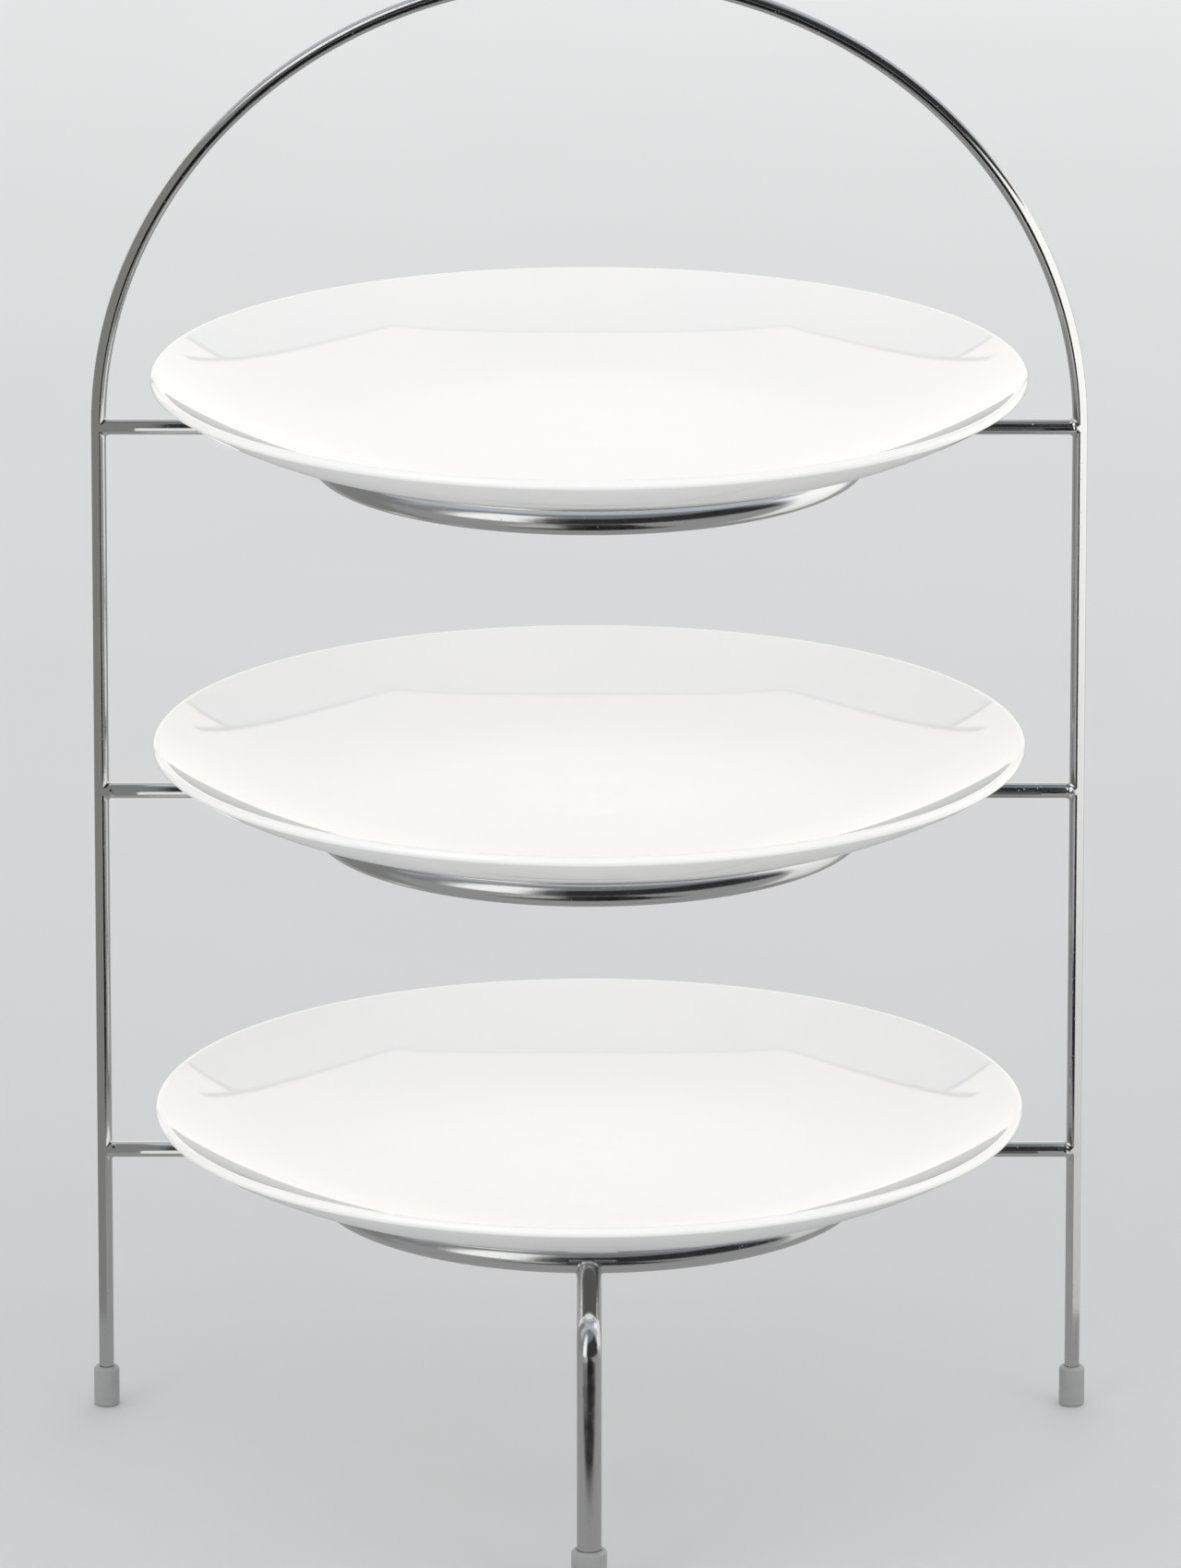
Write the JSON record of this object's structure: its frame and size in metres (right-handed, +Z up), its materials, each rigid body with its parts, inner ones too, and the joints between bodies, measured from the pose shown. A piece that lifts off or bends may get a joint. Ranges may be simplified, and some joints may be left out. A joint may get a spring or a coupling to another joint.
{
  "type": "three-tier cake stand",
  "caption": "Wire cake stand with an arched carrying handle that holds round coupe plates in rings, one above another.",
  "frame": {"origin": "on the plane the feet stand on, under the centre of the whole stand's box", "axes": "+Z up, the handle lies across X, and the single front leg is towards -Y"},
  "size_m": [0.312, 0.2874, 0.4633],
  "materials": {
    "steel": "polished",
    "porcelain": "gloss",
    "cap_plastic": "satin"
  },
  "bodies": {
    "frame": {"arch_wire": "steel", "lower_ring": "steel", "middle_ring": "steel", "upper_ring": "steel", "lower_left_arm": "steel", "lower_right_arm": "steel", "middle_left_arm": "steel", "middle_right_arm": "steel", "upper_left_arm": "steel", "upper_right_arm": "steel", "front_leg": "steel", "left_foot_cap": "cap_plastic", "right_foot_cap": "cap_plastic", "front_foot_cap": "cap_plastic"},
    "lower_plate_body": {"lower_plate": "porcelain"},
    "middle_plate_body": {"middle_plate": "porcelain"},
    "upper_plate_body": {"upper_plate": "porcelain"}
  },
  "joints": [
    {"name": "lower_plate_lift", "type": "slide", "parent": "frame", "child": "lower_plate_body", "axis": [0, 0, 1], "range_m": [0, 0.08]},
    {"name": "middle_plate_lift", "type": "slide", "parent": "frame", "child": "middle_plate_body", "axis": [0, 0, 1], "range_m": [0, 0.08]},
    {"name": "upper_plate_lift", "type": "slide", "parent": "frame", "child": "upper_plate_body", "axis": [0, 0, 1], "range_m": [0, 0.035]}
  ]
}
